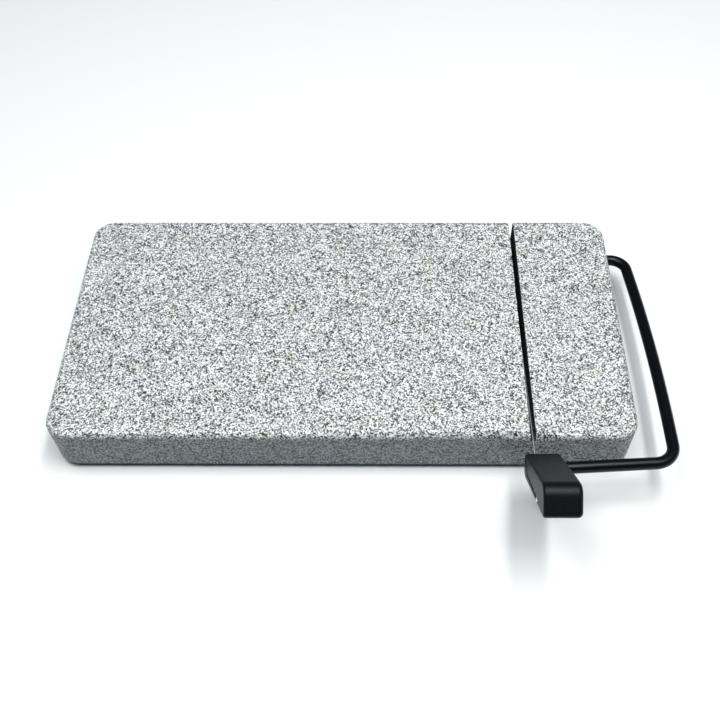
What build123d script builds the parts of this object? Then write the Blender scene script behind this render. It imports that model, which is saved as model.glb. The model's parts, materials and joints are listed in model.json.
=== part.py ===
from build123d import *
from math import cos, radians, sin, tan
import os

# Cheese slicer: a granite board with a hinged wire cutter.
#
# Everything is drawn about the centre of the stone's underside, +X to the
# right, +Y to the back and +Z up, with the cutter lowered into its slot. The
# last step moves the origin to the middle of the whole footprint, on the table.

# Stone board
SLAB_LENGTH = 254.0
SLAB_WIDTH = 127.0
SLAB_THICKNESS = 25.0
SLAB_CORNER_RADIUS = 10.0
SLAB_TOP_ROUND = 2.8
SLAB_BOTTOM_ROUND = 2.4

# Saw cut that receives the wire: it deepens towards the back
SLOT_X = 81.4
SLOT_WIDTH = 2.4
SLOT_FLOOR_FRONT = 21.6
SLOT_FLOOR_BACK = 5.0

# Rubber feet
FOOT_DIAMETER = 10.0
FOOT_HEIGHT = 2.0
FOOT_INSET = 16.0
FOOT_EDGE = 0.5

# Hinge: the rod turns in a blind bore drilled from the right-hand end
PIVOT_Y = 48.0
PIVOT_Z = 12.5
PIVOT_CLEARANCE = 0.05
BORE_END_GAP = 1.5

# Bent rod
ROD_DIAMETER = 5.2
ROD_END_CHAMFER = 0.5
ROD_START_X = 71.0
ROD_STOP_X = 79.3
LEG_BACK_X = 138.1
LEG_FRONT_X = 139.5
LEG_REACH = 123.0
LEG_BOW = 3.0
LEG_BOW_RADIUS = 1000.0
BACK_BEND_RADIUS = 7.6
FRONT_BEND_RADIUS = 9.4
FRONT_LEG_SPLAY = 3.7
REST_TILT = 5.0

# Cutting wire and its two ends
WIRE_DIAMETER = 0.65
WIRE_HOLE_DIAMETER = 0.95
WIRE_BEND_RADIUS = 1.6
END_FIT = 0.01
FERRULE_DIAMETER = 1.7
FERRULE_LENGTH = 2.0
NIPPLE_DIAMETER = 2.2
NIPPLE_LENGTH = 6.2
NIPPLE_PROUD = 0.3
END_CHAMFER = 0.2

# Moulded handle: a bar that rises forwards from the rod's front leg
HANDLE_LEFT_X = 77.2
HANDLE_WIDTH = 14.9
HANDLE_RISE = 38.5
HANDLE_BACK = 7.0
HANDLE_BACK_TOP = 5.6
HANDLE_BACK_BOTTOM = 5.0
HANDLE_FRONT_TOP = 6.7
HANDLE_FRONT_BOTTOM = 6.3
HANDLE_TOP_LENGTH = 40.9
HANDLE_BOTTOM_LENGTH = 43.0
HANDLE_NOSE_RADIUS = 4.9
HANDLE_TIP_RADIUS = 5.0
HANDLE_TOE_RADIUS = 2.1
HANDLE_LEFT_ROUND = 1.0
HANDLE_RIGHT_ROUND = 2.0
HANDLE_FIT = 0.01
NIPPLE_ALONG = 27.0
NIPPLE_BELOW = 3.8
NIPPLE_POCKET_GAP = 0.1
WIRE_SLIT_WIDTH = 1.1

ROD_RADIUS = ROD_DIAMETER / 2
WIRE_RADIUS = WIRE_DIAMETER / 2
CUT_MARGIN = 5.0

# The arm is drawn flat: the pivot is its local X axis and local -Y runs forwards.
ARM_PLACE = Pos(0, PIVOT_Y, PIVOT_Z) * Rot(X=-REST_TILT)


def front_leg_y(x):
    """Local Y of the front leg's centreline at this X."""
    return -LEG_REACH - (LEG_FRONT_X - x) * tan(radians(FRONT_LEG_SPLAY))


def bar(radius, start, end):
    """Solid round bar between two points."""
    along = Vector(*end) - Vector(*start)
    return extrude(Plane(origin=start, z_dir=along) * Circle(radius), along.length)


def round_sweep(path, radius):
    """Round section swept along a path."""
    section = Plane(origin=path @ 0, z_dir=path % 0) * Circle(radius)
    return sweep(section, path=path)


def chamfered_ends(pin, axis, size):
    """Chamfer both end rims of a straight pin that lies along axis."""
    ends = pin.faces().sort_by(axis)
    return chamfer(ends[0].edges() + ends[-1].edges(), size)


# The handle sits on its own place: local Y forwards along the bar, local Z up.
HANDLE_Y = front_leg_y(HANDLE_LEFT_X + HANDLE_WIDTH / 2)
WIRE_FRONT_Y = front_leg_y(SLOT_X)
HANDLE_PLACE = Pos(HANDLE_LEFT_X, HANDLE_Y, 0) * Rot(Z=180) * Rot(X=HANDLE_RISE)


def handle_point(along, above):
    """Arm-frame (Y, Z) of a point given along the handle and above its axis."""
    rise = radians(HANDLE_RISE)
    y = HANDLE_Y - along * cos(rise) + above * sin(rise)
    z = along * sin(rise) + above * cos(rise)
    return y, z


def granite_slab():
    plan = RectangleRounded(SLAB_LENGTH, SLAB_WIDTH, SLAB_CORNER_RADIUS)
    slab = extrude(plan, SLAB_THICKNESS)
    slab = fillet(slab.faces().sort_by(Axis.Z)[-1].edges(), SLAB_TOP_ROUND)
    slab = fillet(slab.faces().sort_by(Axis.Z)[0].edges(), SLAB_BOTTOM_ROUND)

    floor_rise = (SLOT_FLOOR_BACK - SLOT_FLOOR_FRONT) / SLAB_WIDTH * CUT_MARGIN
    front = -SLAB_WIDTH / 2 - CUT_MARGIN
    back = SLAB_WIDTH / 2 + CUT_MARGIN
    top = SLAB_THICKNESS + CUT_MARGIN
    side = Polyline(
        (front, SLOT_FLOOR_FRONT - floor_rise),
        (back, SLOT_FLOOR_BACK + floor_rise),
        (back, top),
        (front, top),
        close=True,
    )
    # Plane.YZ's normal is +X, so the cut is centred by extruding both ways.
    slot = Pos(SLOT_X, 0, 0) * extrude(Plane.YZ * make_face(side), SLOT_WIDTH / 2, both=True)
    slab -= slot

    bore_start = (ROD_START_X - BORE_END_GAP, PIVOT_Y, PIVOT_Z)
    bore_end = (SLAB_LENGTH / 2 + CUT_MARGIN, PIVOT_Y, PIVOT_Z)
    return slab - bar(ROD_RADIUS + PIVOT_CLEARANCE, bore_start, bore_end)


def rubber_foot(x_side, y_side):
    x = x_side * (SLAB_LENGTH / 2 - FOOT_INSET)
    y = y_side * (SLAB_WIDTH / 2 - FOOT_INSET)
    foot = bar(FOOT_DIAMETER / 2, (x, y, -FOOT_HEIGHT), (x, y, 0))
    return chamfer(foot.faces().sort_by(Axis.Z)[0].edges(), FOOT_EDGE)


def arm_rod():
    """One rod bent into a flat U, its long leg bowed a little by the wire's pull."""
    bow_middle = (LEG_BACK_X + LEG_FRONT_X) / 2 + LEG_BOW
    path = FilletPolyline(
        (ROD_START_X, 0, 0),
        (LEG_BACK_X, 0, 0),
        (bow_middle, -LEG_REACH / 2, 0),
        (LEG_FRONT_X, -LEG_REACH, 0),
        (ROD_STOP_X, front_leg_y(ROD_STOP_X), 0),
        radius=[BACK_BEND_RADIUS, LEG_BOW_RADIUS, FRONT_BEND_RADIUS],
    )
    rod = round_sweep(path, ROD_RADIUS)
    tips = [rod.faces().sort_by_distance(path @ end)[0] for end in (0, 1)]
    rod = chamfer([tip.edges()[0] for tip in tips], ROD_END_CHAMFER)
    for y in (0, WIRE_FRONT_Y):
        rod -= bar(WIRE_HOLE_DIAMETER / 2, (SLOT_X, y - ROD_DIAMETER, 0), (SLOT_X, y + ROD_DIAMETER, 0))
    return ARM_PLACE * rod


def nipple_centre():
    y, z = handle_point(NIPPLE_ALONG, -NIPPLE_BELOW)
    return Vector(SLOT_X, y, z)


def wire_exit():
    """Where the wire leaves the front of the rod and turns up the handle."""
    return Vector(SLOT_X, WIRE_FRONT_Y - ROD_RADIUS - WIRE_RADIUS, 0)


def cutting_wire():
    tail = Vector(SLOT_X, ROD_RADIUS + FERRULE_LENGTH, 0)
    to_nipple = (nipple_centre() - wire_exit()).normalized()
    end = nipple_centre() - to_nipple * (NIPPLE_DIAMETER / 2 - WIRE_RADIUS)
    path = FilletPolyline(tail, wire_exit(), end, radius=WIRE_BEND_RADIUS)
    return ARM_PLACE * round_sweep(path, WIRE_RADIUS)


def wire_ferrule():
    """Stop crimped on the wire behind the pivot, inside the slot."""
    start = (SLOT_X, ROD_RADIUS, 0)
    end = (SLOT_X, ROD_RADIUS + FERRULE_LENGTH, 0)
    ferrule = chamfered_ends(bar(FERRULE_DIAMETER / 2, start, end), Axis.Y, END_CHAMFER)
    return ARM_PLACE * (ferrule - bar(WIRE_RADIUS + END_FIT, start, end))


def wire_nipple():
    """Barrel on the wire's front end, seated crosswise in the handle."""
    centre = nipple_centre()
    start = (HANDLE_LEFT_X - NIPPLE_PROUD, centre.Y, centre.Z)
    end = (HANDLE_LEFT_X - NIPPLE_PROUD + NIPPLE_LENGTH, centre.Y, centre.Z)
    nipple = chamfered_ends(bar(NIPPLE_DIAMETER / 2, start, end), Axis.X, END_CHAMFER)
    to_wire = (wire_exit() - centre).normalized()
    hole = bar(WIRE_RADIUS + END_FIT, centre, centre + to_wire * NIPPLE_DIAMETER)
    return ARM_PLACE * (nipple - hole)


def handle_blank():
    """The bar's side outline, extruded across its width; the slit's side has the sharper edges."""
    back_bottom = (-HANDLE_BACK, -HANDLE_BACK_BOTTOM)
    back_top = (-HANDLE_BACK, HANDLE_BACK_TOP)
    front_top = (HANDLE_TOP_LENGTH, HANDLE_FRONT_TOP)
    front_bottom = (HANDLE_BOTTOM_LENGTH, -HANDLE_FRONT_BOTTOM)
    outline = FilletPolyline(
        back_bottom,
        front_bottom,
        front_top,
        back_top,
        radius=[HANDLE_NOSE_RADIUS, HANDLE_TOE_RADIUS, HANDLE_TIP_RADIUS, HANDLE_NOSE_RADIUS],
        close=True,
    )
    side = make_face(outline)
    # Plane.YZ's local X is +Y: HANDLE_PLACE turns it forwards and tips it up.
    blank = HANDLE_PLACE * extrude(Plane.YZ * side, -HANDLE_WIDTH)
    sides = blank.faces().sort_by(Axis.X)
    blank = fillet(sides[-1].edges(), HANDLE_RIGHT_ROUND)
    return fillet(blank.faces().sort_by(Axis.X)[0].edges(), HANDLE_LEFT_ROUND)


def slit(start, end):
    """Narrow groove in the handle's left face, deep enough to hold the wire."""
    along = (end - start).normalized() * (WIRE_SLIT_WIDTH / 2)
    across = Vector(1, 0, 0).cross(along)
    to_left = Vector(HANDLE_LEFT_X - CUT_MARGIN - SLOT_X, 0, 0)
    near = start - along + to_left
    far = end + along + to_left
    face = make_face(Polyline(near + across, far + across, far - across, near - across, close=True))
    depth = SLOT_X + WIRE_SLIT_WIDTH / 2 - (HANDLE_LEFT_X - CUT_MARGIN)
    return extrude(face, depth, dir=(1, 0, 0))


def handle_body():
    handle = handle_blank()
    rod_stop = (ROD_STOP_X, front_leg_y(ROD_STOP_X), 0)
    outside_x = HANDLE_LEFT_X + HANDLE_WIDTH + CUT_MARGIN
    handle -= bar(ROD_RADIUS + HANDLE_FIT, rod_stop, (outside_x, front_leg_y(outside_x), 0))

    centre = nipple_centre()
    pocket_start = (HANDLE_LEFT_X - CUT_MARGIN, centre.Y, centre.Z)
    pocket_end = (HANDLE_LEFT_X + NIPPLE_LENGTH, centre.Y, centre.Z)
    handle -= bar(NIPPLE_DIAMETER / 2 + NIPPLE_POCKET_GAP, pocket_start, pocket_end)

    behind = Vector(SLOT_X, WIRE_FRONT_Y + HANDLE_BACK + CUT_MARGIN, 0)
    handle -= slit(behind, wire_exit())
    handle -= slit(wire_exit(), centre)
    return ARM_PLACE * handle


def main():
    parts = {
        "granite_slab": granite_slab(),
        "arm_rod": arm_rod(),
        "handle_body": handle_body(),
        "cutting_wire": cutting_wire(),
        "wire_ferrule": wire_ferrule(),
        "wire_nipple": wire_nipple(),
    }
    sides = {"left": -1, "right": 1}
    ends = {"front": -1, "back": 1}
    for end_name, y_side in ends.items():
        for side_name, x_side in sides.items():
            parts[f"foot_{end_name}_{side_name}"] = rubber_foot(x_side, y_side)

    footprint = Compound(list(parts.values())).bounding_box()
    origin = Vector(footprint.center().X, footprint.center().Y, footprint.min.Z)
    print("origin from the stone's underside centre:", [round(v, 4) for v in origin])

    os.makedirs("parts", exist_ok=True)
    for name, shape in parts.items():
        export_step(Pos(-origin) * shape, f"parts/{name}.step")


main()
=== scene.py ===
import json
import math

import bpy
from mathutils import Matrix, Vector, noise


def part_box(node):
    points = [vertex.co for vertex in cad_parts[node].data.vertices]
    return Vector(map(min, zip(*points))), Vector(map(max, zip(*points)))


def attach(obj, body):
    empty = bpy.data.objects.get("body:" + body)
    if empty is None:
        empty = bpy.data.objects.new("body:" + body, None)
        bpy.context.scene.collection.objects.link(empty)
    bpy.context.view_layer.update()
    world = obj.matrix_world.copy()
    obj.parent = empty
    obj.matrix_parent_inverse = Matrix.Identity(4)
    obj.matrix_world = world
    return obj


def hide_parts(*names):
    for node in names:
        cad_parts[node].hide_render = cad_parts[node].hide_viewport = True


# A granite cheese slicer board: finishes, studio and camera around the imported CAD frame.
# Lengths are in metres and angles in radians; the camera's lens and sensor are in millimetres.

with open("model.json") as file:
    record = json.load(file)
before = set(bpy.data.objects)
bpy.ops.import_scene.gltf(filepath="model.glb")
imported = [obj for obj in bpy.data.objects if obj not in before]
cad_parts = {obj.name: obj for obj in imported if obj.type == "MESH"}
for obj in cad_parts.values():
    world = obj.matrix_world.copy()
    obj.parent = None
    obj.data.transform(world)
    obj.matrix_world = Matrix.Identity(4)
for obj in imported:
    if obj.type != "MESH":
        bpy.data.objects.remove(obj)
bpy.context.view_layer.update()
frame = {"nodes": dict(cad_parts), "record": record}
MM = 0.001

# Camera: standing in front of the board, looking down on it
CAMERA_PLACE = (0.01227, -0.23741, 0.35158)
CAMERA_YAW = -0.01531
CAMERA_PITCH = 0.94797
CAMERA_ROLL = -0.01100
CAMERA_LENS = 45.094
CAMERA_SENSOR = 36.0
CAMERA_SHIFT = (-0.0288, 0.0132)

# Stone
GRAIN_SIZE = 0.51 * MM
FLAKE_SIZE = 1.9 * MM
# Painted shade: the stone in the saw cut and the bore is multiplied by this colour, near black
SAWN_PAINTED_SHADE = (0.085, 0.090, 0.105)
CORNER_RADIUS = 10.0 * MM
TOP_ROUND = 2.8 * MM
BOTTOM_ROUND = 2.4 * MM
CORNER_STEPS = 14
ROUND_STEPS = 8
SLOT_WIDTH = 2.4 * MM
SLOT_FLOOR_FRONT = 21.6 * MM
SLOT_FLOOR_BACK = 5.0 * MM
SLOT_STEPS = 460
BORE_RADIUS = 2.65 * MM
BORE_PAST_SLOT = 11.9 * MM
BORE_STEPS = 64
CHIP_DEPTH = 0.55 * MM
CHIP_BASE = 0.03 * MM
CHIP_LENGTH = 1.3 * MM
CHIP_THRESHOLD = 0.12
FINE_CHIP_DEPTH = 0.12 * CHIP_DEPTH
FINE_CHIP_LENGTH = 0.4 * CHIP_LENGTH
BORE_MOUTH = 0.3 * MM
FACE_SLACK = 0.005 * MM
FLAT_NORMAL = 0.999

# Small fittings
TURNED_STEPS = 48

# Studio
FLOOR_SIZE = 6.0
FLOOR_COLOUR = (0.90, 0.90, 0.90)
FLOOR_BOUNCE = (0.075, 0.100, 0.118)
BACKDROP_COLOUR = (0.90, 0.92, 0.94)
WORLD_COLOUR = (0.044, 0.068, 0.080)
# name: place, (width, length), power in watts, colour; each looks straight down
SOFT_BOXES = {
    "key_strip": ((0.215, -0.01, 1.02), (0.10, 0.74), 5.1, (1.0, 0.99, 0.97)),
    "left_strip": ((-0.33, -0.02, 0.95), (0.35, 0.70), 2.6, (0.97, 0.99, 1.0)),
    "ceiling": ((0.15, -0.09, 0.92), (1.20, 0.46), 6.9, (0.98, 0.99, 1.0)),
}

# The Mix node's colour sockets
MIX_A = 6
MIX_B = 7
MIX_RESULT = 2


# ---------------------------------------------------------------- node helpers

class Finish:
    """A material's node tree, with short calls for the nodes that the finishes use."""

    def __init__(self, name):
        self.material = bpy.data.materials.new(name)
        self.material.use_nodes = True
        self.tree = self.material.node_tree
        self.shader = self.tree.nodes["Principled BSDF"]
        self.place = self.tree.nodes.new("ShaderNodeTexCoord").outputs["Object"]

    def link(self, source, target):
        self.tree.links.new(source, target)

    def set(self, **values):
        """Sets the shader's own sockets; an underscore stands for a space in the socket's name."""
        for name, value in values.items():
            socket = name.replace("_", " ").title().replace("Ior", "IOR")
            self.shader.inputs[socket].default_value = value

    def feed(self, socket, value):
        if isinstance(value, (int, float, tuple)):
            socket.default_value = value
        else:
            self.link(value, socket)

    def math(self, operation, a, b, clamp=False):
        node = self.tree.nodes.new("ShaderNodeMath")
        node.operation = operation
        node.use_clamp = clamp
        self.feed(node.inputs[0], a)
        self.feed(node.inputs[1], b)
        return node.outputs[0]

    def vector(self, operation, a, b):
        node = self.tree.nodes.new("ShaderNodeVectorMath")
        node.operation = operation
        self.feed(node.inputs[0], a)
        if operation == "SCALE":
            self.feed(node.inputs["Scale"], b)
        else:
            self.feed(node.inputs[1], b)
        return node.outputs[0]

    def noise(self, size, detail, colour=False):
        """Soft noise whose blotches are about size metres across."""
        node = self.tree.nodes.new("ShaderNodeTexNoise")
        node.inputs["Scale"].default_value = 1.0 / size
        node.inputs["Detail"].default_value = detail
        self.link(self.place, node.inputs["Vector"])
        return node.outputs["Color" if colour else "Fac"]

    def cells(self, size, place):
        """Voronoi cells about size metres across: (random colour of the cell, distance)."""
        node = self.tree.nodes.new("ShaderNodeTexVoronoi")
        node.inputs["Scale"].default_value = 1.0 / size
        self.link(place, node.inputs["Vector"])
        return node.outputs["Color"], node.outputs["Distance"]

    def split(self, colour):
        node = self.tree.nodes.new("ShaderNodeSeparateColor")
        self.link(colour, node.inputs[0])
        return node.outputs

    def ramp(self, value, stops, constant=False):
        """Colour ramp; stops are (position, colour or grey)."""
        node = self.tree.nodes.new("ShaderNodeValToRGB")
        node.color_ramp.interpolation = "CONSTANT" if constant else "LINEAR"
        elements = node.color_ramp.elements
        while len(elements) < len(stops):
            elements.new(1.0)
        for element, (position, colour) in zip(elements, stops):
            shade = colour if isinstance(colour, tuple) else (colour, colour, colour)
            element.position = position
            element.color = (*shade, 1.0)
        self.feed(node.inputs[0], value)
        return node.outputs[0]

    def remap(self, value, low, high, to_low, to_high):
        node = self.tree.nodes.new("ShaderNodeMapRange")
        self.feed(node.inputs["Value"], value)
        node.inputs["From Min"].default_value = low
        node.inputs["From Max"].default_value = high
        node.inputs["To Min"].default_value = to_low
        node.inputs["To Max"].default_value = to_high
        return node.outputs[0]

    def mix(self, share, a, b, blend="MIX"):
        """Mixes two colours; a and b are outputs or (red, green, blue)."""
        node = self.tree.nodes.new("ShaderNodeMix")
        node.data_type = "RGBA"
        node.blend_type = blend
        self.feed(node.inputs[0], share)
        for socket, value in ((node.inputs[MIX_A], a), (node.inputs[MIX_B], b)):
            self.feed(socket, (*value, 1.0) if isinstance(value, tuple) else value)
        return node.outputs[MIX_RESULT]

    def bump(self, height, depth):
        """Bump from a height of 0 to 1 that stands for depth metres."""
        node = self.tree.nodes.new("ShaderNodeBump")
        node.inputs["Distance"].default_value = depth
        self.feed(node.inputs["Height"], height)
        return node.outputs[0]

    def colour(self, source):
        self.link(source, self.shader.inputs["Base Color"])

    def roughness(self, source):
        self.link(source, self.shader.inputs["Roughness"])

    def normal(self, source):
        self.link(source, self.shader.inputs["Normal"])


# ---------------------------------------------------------------- finishes

def granite(name, painted_shade=None):
    """Fine grey granite: half-millimetre feldspar and quartz grains, black mica flakes.

    Gives the finish, and a random value for each grain to vary its gloss with.
    """
    f = Finish(name)
    warp = f.vector("SUBTRACT", f.noise(1.0 * MM, 2.0, colour=True), (0.5, 0.5, 0.5))
    place = f.vector("ADD", f.place, f.vector("SCALE", warp, 0.7 * MM))

    grain = f.split(f.cells(GRAIN_SIZE, place)[0])
    clusters = f.noise(4.0 * MM, 2.0)
    kind = f.math("ADD", grain[0], f.remap(clusters, 0.3, 0.7, -0.09, 0.09), clamp=True)
    colour = f.ramp(kind, [
        (0.00, (0.010, 0.011, 0.013)),
        (0.14, (0.060, 0.065, 0.074)),
        (0.26, (0.210, 0.220, 0.234)),
        (0.41, (0.440, 0.455, 0.465)),
        (0.59, (0.690, 0.700, 0.705)),
        (0.77, (0.900, 0.905, 0.900)),
    ], constant=True)

    flake_colour, flake_distance = f.cells(FLAKE_SIZE, place)
    is_flake = f.math("GREATER_THAN", f.split(flake_colour)[0], 0.45)
    flake = f.math("MULTIPLY", f.math("LESS_THAN", flake_distance, 0.24), is_flake)
    colour = f.mix(flake, colour, (0.018, 0.019, 0.022))

    stain = f.ramp(f.noise(9.0 * MM, 1.0), [(0.64, (1.0, 1.0, 1.0)), (0.72, (0.93, 0.93, 0.80))])
    colour = f.mix(1.0, colour, stain, "MULTIPLY")
    # Painted shade: a dark colour passed in here multiplies the stone, for the saw cut and the bore
    if painted_shade:
        colour = f.mix(1.0, colour, painted_shade, "MULTIPLY")
    f.colour(colour)
    f.normal(f.bump(f.noise(0.7 * MM, 3.0), 0.012 * MM))
    return f, grain[1]


def polished_granite():
    """The stone's outside; its grains take the polish unevenly."""
    f, grain_gloss = granite("granite")
    f.roughness(f.remap(grain_gloss, 0.0, 1.0, 0.34, 0.55))
    return f.material


def sawn_granite_painted_shade():
    """The same stone in the saw cut and the bore, darkened to near black as painted shade; no gloss.
    """
    f, _ = granite("granite_sawn_painted_shade", SAWN_PAINTED_SHADE)
    f.set(roughness=0.92, specular_ior_level=0.1)
    return f.material


def black_coat():
    """Satin black powder coat with a fine orange peel."""
    f = Finish("black_coat")
    f.set(base_color=(0.0025, 0.0028, 0.0045, 1.0), specular_ior_level=0.22)
    f.roughness(f.remap(f.noise(2.0 * MM, 3.0), 0.3, 0.7, 0.26, 0.34))
    f.normal(f.bump(f.noise(1.1 * MM, 2.0), 0.012 * MM))
    return f.material


def moulded_plastic():
    """Black moulded plastic with a spark-eroded grain."""
    f = Finish("moulded_plastic")
    f.set(base_color=(0.0016, 0.0032, 0.0042, 1.0), specular_ior_level=0.19)
    f.roughness(f.remap(f.noise(0.8 * MM, 3.0), 0.3, 0.7, 0.36, 0.52))
    f.normal(f.bump(f.noise(0.5 * MM, 3.0), 0.07 * MM))
    return f.material


def drawn_steel():
    """Bright drawn wire."""
    f = Finish("drawn_steel")
    f.set(base_color=(0.58, 0.60, 0.62, 1.0), metallic=1.0)
    f.roughness(f.remap(f.noise(0.3 * MM, 2.0), 0.3, 0.7, 0.42, 0.56))
    return f.material


def turned_steel():
    """Bright turned end fittings."""
    f = Finish("turned_steel")
    f.set(base_color=(0.78, 0.78, 0.78, 1.0), metallic=1.0)
    f.roughness(f.remap(f.noise(0.2 * MM, 2.0), 0.3, 0.7, 0.15, 0.32))
    return f.material


def foot_rubber():
    """Matt moulded rubber, slightly dusty."""
    f = Finish("foot_rubber")
    dust = f.noise(1.5 * MM, 4.0)
    f.colour(f.ramp(dust, [(0.35, 0.020), (0.75, 0.045)]))
    f.roughness(f.remap(dust, 0.3, 0.7, 0.70, 0.90))
    f.normal(f.bump(f.noise(0.25 * MM, 2.0), 0.02 * MM))
    return f.material


def all_finishes():
    """The finish of each material slot in the record."""
    return {
        "granite": polished_granite(),
        "black_steel": black_coat(),
        "handle_plastic": moulded_plastic(),
        "wire_steel": drawn_steel(),
        "end_steel": turned_steel(),
        "foot_rubber": foot_rubber(),
    }


def dress_cad_nodes(finishes):
    """Gives each CAD node the finish of its slot."""
    slots = {part["node"]: part["material_slot"] for part in frame["record"]["subparts"]}
    for name, node in frame["nodes"].items():
        node.data.materials.clear()
        node.data.materials.append(finishes[slots[name]])


# ---------------------------------------------------------------- stone mesh

def new_mesh(name, rings):
    """Closed skin over rings of equally many points; flat caps over the first and last ring."""
    count = len(rings[0])
    points = [point for ring in rings for point in ring]
    faces = []
    for level in range(len(rings) - 1):
        for i in range(count):
            j = (i + 1) % count
            low, high = level * count, (level + 1) * count
            faces.append((low + i, low + j, high + j, high + i))
    faces.append(tuple(reversed(range(count))))
    faces.append(tuple(range(len(points) - count, len(points))))
    mesh = bpy.data.meshes.new(name)
    mesh.from_pydata(points, [], faces)
    mesh.validate()
    obj = bpy.data.objects.new(name, mesh)
    bpy.context.scene.collection.objects.link(obj)
    return obj


def rounded_plan(low, high, inset, z):
    """One ring of the stone's outline, anticlockwise from above, inset from the full outline."""
    radius = CORNER_RADIUS - inset
    left, right = low.x + CORNER_RADIUS, high.x - CORNER_RADIUS
    front, back = low.y + CORNER_RADIUS, high.y - CORNER_RADIUS
    centres = ((right, back, 0.0), (left, back, 90.0), (left, front, 180.0), (right, front, 270.0))
    ring = []
    for x, y, start in centres:
        for step in range(CORNER_STEPS + 1):
            angle = math.radians(start + 90.0 * step / CORNER_STEPS)
            ring.append((x + radius * math.cos(angle), y + radius * math.sin(angle), z))
    return ring


def slab_rings(low, high):
    """Rings from the underside to the top, round arrises and a narrow rim on each flat."""
    rim = 0.25 * MM
    rings = [rounded_plan(low, high, BOTTOM_ROUND + rim, low.z)]
    for step in range(ROUND_STEPS + 1):
        angle = math.radians(90.0 * step / ROUND_STEPS)
        inset = BOTTOM_ROUND * (1.0 - math.sin(angle))
        rings.append(rounded_plan(low, high, inset, low.z + BOTTOM_ROUND * (1.0 - math.cos(angle))))
    rings.append(rounded_plan(low, high, 0.0, low.z + BOTTOM_ROUND + rim))
    rings.append(rounded_plan(low, high, 0.0, high.z - TOP_ROUND - rim))
    for step in range(ROUND_STEPS + 1):
        angle = math.radians(90.0 * step / ROUND_STEPS)
        inset = TOP_ROUND * (1.0 - math.cos(angle))
        rings.append(rounded_plan(low, high, inset, high.z - TOP_ROUND * (1.0 - math.sin(angle))))
    rings.append(rounded_plan(low, high, TOP_ROUND + rim, high.z))
    return rings


def chip(along, lane):
    """How far the stone has broken back from a sharp arris at this place along it."""
    coarse = noise.noise((along / CHIP_LENGTH, lane, 0.3))
    fine = noise.noise((along / FINE_CHIP_LENGTH, lane, 7.9))
    depth = CHIP_BASE + CHIP_DEPTH * max(0.0, coarse - CHIP_THRESHOLD)
    return depth + FINE_CHIP_DEPTH * max(0.0, fine)


def slot_cutter(low, high, slot_x):
    """The saw cut's shape, wider at the top wherever the arris has chipped."""
    over = 1.0 * MM
    half = SLOT_WIDTH / 2.0
    slope = (SLOT_FLOOR_BACK - SLOT_FLOOR_FRONT) / (high.y - low.y)
    # (depth below the top, share of the chip taken there)
    wall = ((0.8 * MM, 0.0), (0.45 * MM, 0.25), (0.2 * MM, 0.6), (0.0, 1.0), (-0.5 * MM, 1.3))
    rings = []
    for step in range(SLOT_STEPS + 1):
        y = low.y - over + (high.y - low.y + 2.0 * over) * step / SLOT_STEPS
        floor = low.z + SLOT_FLOOR_FRONT + slope * (y - low.y)
        left, right = chip(y, 1.7), chip(y, 5.2)
        ring = [(slot_x - half, y, floor), (slot_x + half, y, floor)]
        ring += [(slot_x + half + right * share, y, high.z - depth) for depth, share in wall]
        ring += [(slot_x - half - left * share, y, high.z - depth) for depth, share in reversed(wall)]
        rings.append(ring)
    rings.reverse()
    return new_mesh("slot_cutter", rings)


def bore_cutter(high, slot_x, pivot):
    """The rod's blind bore, its mouth a little ragged from the drill."""
    # (place along the bore, share of the chip taken there)
    stations = (
        (slot_x - BORE_PAST_SLOT, 0.0),
        (high.x - 0.6 * MM, 0.0),
        (high.x - 0.2 * MM, 0.5),
        (high.x, 1.0),
        (high.x + 1.0 * MM, 1.2),
    )
    rings = []
    for x, share in stations:
        ring = []
        for step in range(BORE_STEPS):
            angle = 2.0 * math.pi * step / BORE_STEPS
            radius = BORE_RADIUS + share * chip(BORE_RADIUS * math.cos(angle), 9.0 + math.sin(angle))
            ring.append((x, pivot.y + radius * math.cos(angle), pivot.z + radius * math.sin(angle)))
        rings.append(ring)
    return new_mesh("bore_cutter", rings)


def cut_away(obj, cutter):
    """Takes the cutter's shape out of the object, and removes the cutter."""
    change = obj.modifiers.new("cut", "BOOLEAN")
    change.operation = "DIFFERENCE"
    change.solver = "EXACT"
    change.object = cutter
    bpy.context.view_layer.update()
    shape = bpy.data.meshes.new_from_object(obj.evaluated_get(bpy.context.evaluated_depsgraph_get()))
    obj.modifiers.clear()
    obj.data = shape
    bpy.data.objects.remove(cutter)


def stone_slab(stone, sawn):
    """The granite with chipped arrises along the saw cut, in place of the plain CAD slab."""
    low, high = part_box("granite_slab")
    wire_low, wire_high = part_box("cutting_wire")
    slot_x = (wire_low.x + wire_high.x) / 2.0
    pivot = Vector(frame["record"]["behaviour"]["joints"][0]["pos_m"])
    slab = new_mesh("stone_slab", slab_rings(low, high))
    cut_away(slab, slot_cutter(low, high, slot_x))
    cut_away(slab, bore_cutter(high, slot_x, pivot))

    slab.data.materials.clear()
    slab.data.materials.append(stone)
    slab.data.materials.append(sawn)
    bore_end = slot_x - BORE_PAST_SLOT - 2.0 * FACE_SLACK
    bore_mouth = high.x - BORE_MOUTH
    # Faces in the saw cut and the bore take the stone darkened with painted shade
    for face in slab.data.polygons:
        centre = face.center
        in_slot = abs(centre.x - slot_x) < SLOT_WIDTH / 2.0 + FACE_SLACK
        off_axis = math.hypot(centre.y - pivot.y, centre.z - pivot.z)
        in_bore = bore_end < centre.x < bore_mouth and off_axis < BORE_RADIUS + FACE_SLACK
        face.material_index = 1 if in_slot or in_bore else 0
        is_flat = max(abs(component) for component in face.normal) > FLAT_NORMAL
        face.use_smooth = in_bore or not (in_slot or is_flat)
    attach(slab, "board")
    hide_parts("granite_slab")


# ---------------------------------------------------------------- small fittings

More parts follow.
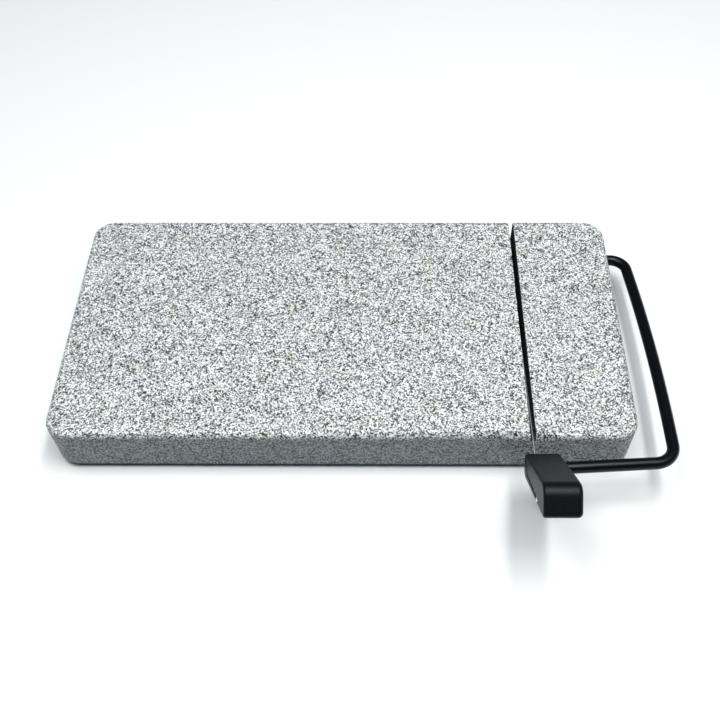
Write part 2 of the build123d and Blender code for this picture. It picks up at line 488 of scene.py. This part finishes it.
def turned(name, node, axis, profile, finish, body):
    """A turned shape in place of a node: profile is (distance along the axis, share of the radius)."""
    low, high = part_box(node)
    middle = (low + high) / 2.0
    across = [i for i in range(3) if i != axis]
    radius = (high[across[0]] - low[across[0]]) / 2.0
    rings = []
    for along, share in profile:
        ring = []
        for step in range(TURNED_STEPS):
            angle = 2.0 * math.pi * step / TURNED_STEPS
            point = [0.0, 0.0, 0.0]
            point[axis] = low[axis] + along
            point[across[0]] = middle[across[0]] + radius * share * math.cos(angle)
            point[across[1]] = middle[across[1]] + radius * share * math.sin(angle)
            ring.append(tuple(point))
        rings.append(ring)
    piece = new_mesh(name, rings)
    for face in piece.data.polygons:
        face.use_smooth = len(face.vertices) == 4
    piece.data.materials.append(finish)
    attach(piece, body)
    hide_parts(node)


def barrel_end(finish):
    """The wire's barrel, its outer end domed and bright."""
    low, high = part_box("wire_nipple")
    length = high.x - low.x
    profile = (
        (0.0, 0.12), (0.02 * MM, 0.34), (0.06 * MM, 0.56), (0.13 * MM, 0.76), (0.23 * MM, 0.90),
        (0.36 * MM, 0.98), (0.50 * MM, 1.0), (length - 0.2 * MM, 1.0), (length, 0.82),
    )
    turned("barrel_end", "wire_nipple", 0, profile, finish, "arm")


def bumper_foot(node, finish):
    """Moulded foot: rounded at the table, a shallow dimple under it, a flared root at the stone."""
    profile = (
        (0.25 * MM, 0.30), (0.08 * MM, 0.42), (0.0, 0.50), (0.0, 0.86), (0.06 * MM, 0.92),
        (0.2 * MM, 0.97), (0.45 * MM, 0.99), (1.0 * MM, 0.96), (1.6 * MM, 0.965), (2.0 * MM, 1.0),
    )
    turned(f"bumper_{node}", node, 2, profile, finish, "board")


# ---------------------------------------------------------------- studio

def colour_by_ray(tree, kind, usual, special):
    """One colour for most rays, and a special one for rays of this kind."""
    rays = tree.nodes.new("ShaderNodeLightPath")
    shade = tree.nodes.new("ShaderNodeMix")
    shade.data_type = "RGBA"
    shade.inputs[MIX_A].default_value = (*usual, 1.0)
    shade.inputs[MIX_B].default_value = (*special, 1.0)
    tree.links.new(rays.outputs[kind], shade.inputs[0])
    return shade.outputs[MIX_RESULT]


def pale_floor():
    """The floor; it throws back less light on the object than its own paleness would."""
    bpy.ops.mesh.primitive_plane_add(size=FLOOR_SIZE)
    floor = bpy.context.object
    floor.name = "studio_floor"
    material = bpy.data.materials.new("studio_floor")
    material.use_nodes = True
    tree = material.node_tree
    shade = colour_by_ray(tree, "Is Diffuse Ray", FLOOR_COLOUR, FLOOR_BOUNCE)
    shader = tree.nodes["Principled BSDF"]
    shader.inputs["Roughness"].default_value = 0.8
    tree.links.new(shade, shader.inputs["Base Color"])
    floor.data.materials.append(material)


def soft_world():
    """A pale backdrop to the camera; to everything else a dim, cool room."""
    world = bpy.data.worlds.new("studio_world")
    bpy.context.scene.world = world
    world.use_nodes = True
    tree = world.node_tree
    shade = colour_by_ray(tree, "Is Camera Ray", WORLD_COLOUR, BACKDROP_COLOUR)
    tree.links.new(shade, tree.nodes["Background"].inputs["Color"])


def soft_box(name, place, size, power, colour):
    data = bpy.data.lights.new(name, "AREA")
    data.shape = "RECTANGLE"
    data.size, data.size_y = size
    data.energy = power
    data.color = colour
    lamp = bpy.data.objects.new(name, data)
    bpy.context.scene.collection.objects.link(lamp)
    lamp.location = place


def place_camera():
    """The camera, aimed by its yaw, pitch down and roll."""
    data = bpy.data.cameras.new("camera")
    data.sensor_width = CAMERA_SENSOR
    data.lens = CAMERA_LENS
    data.shift_x, data.shift_y = CAMERA_SHIFT
    data.clip_start = 0.01
    data.clip_end = 20.0
    camera = bpy.data.objects.new("camera", data)
    bpy.context.scene.collection.objects.link(camera)
    yaw, pitch, roll = CAMERA_YAW, CAMERA_PITCH, CAMERA_ROLL
    reach = math.cos(pitch)
    forward = Vector((math.sin(yaw) * reach, math.cos(yaw) * reach, -math.sin(pitch)))
    level = Vector((math.cos(yaw), -math.sin(yaw), 0.0))
    upright = level.cross(forward)
    right = level * math.cos(roll) + upright * math.sin(roll)
    up = upright * math.cos(roll) - level * math.sin(roll)
    turn = Matrix((right, up, -forward)).transposed()
    camera.matrix_world = Matrix.Translation(CAMERA_PLACE) @ turn.to_4x4()
    bpy.context.scene.camera = camera


def studio():
    bpy.context.scene.view_settings.view_transform = "Standard"
    pale_floor()
    soft_world()
    for name, (place, size, power, colour) in SOFT_BOXES.items():
        soft_box(name, place, size, power, colour)
    place_camera()


finishes = all_finishes()
dress_cad_nodes(finishes)
stone_slab(finishes["granite"], sawn_granite_painted_shade())
barrel_end(finishes["end_steel"])
for end in ("front", "back"):
    for side in ("left", "right"):
        bumper_foot(f"foot_{end}_{side}", finishes["foot_rubber"])
studio()
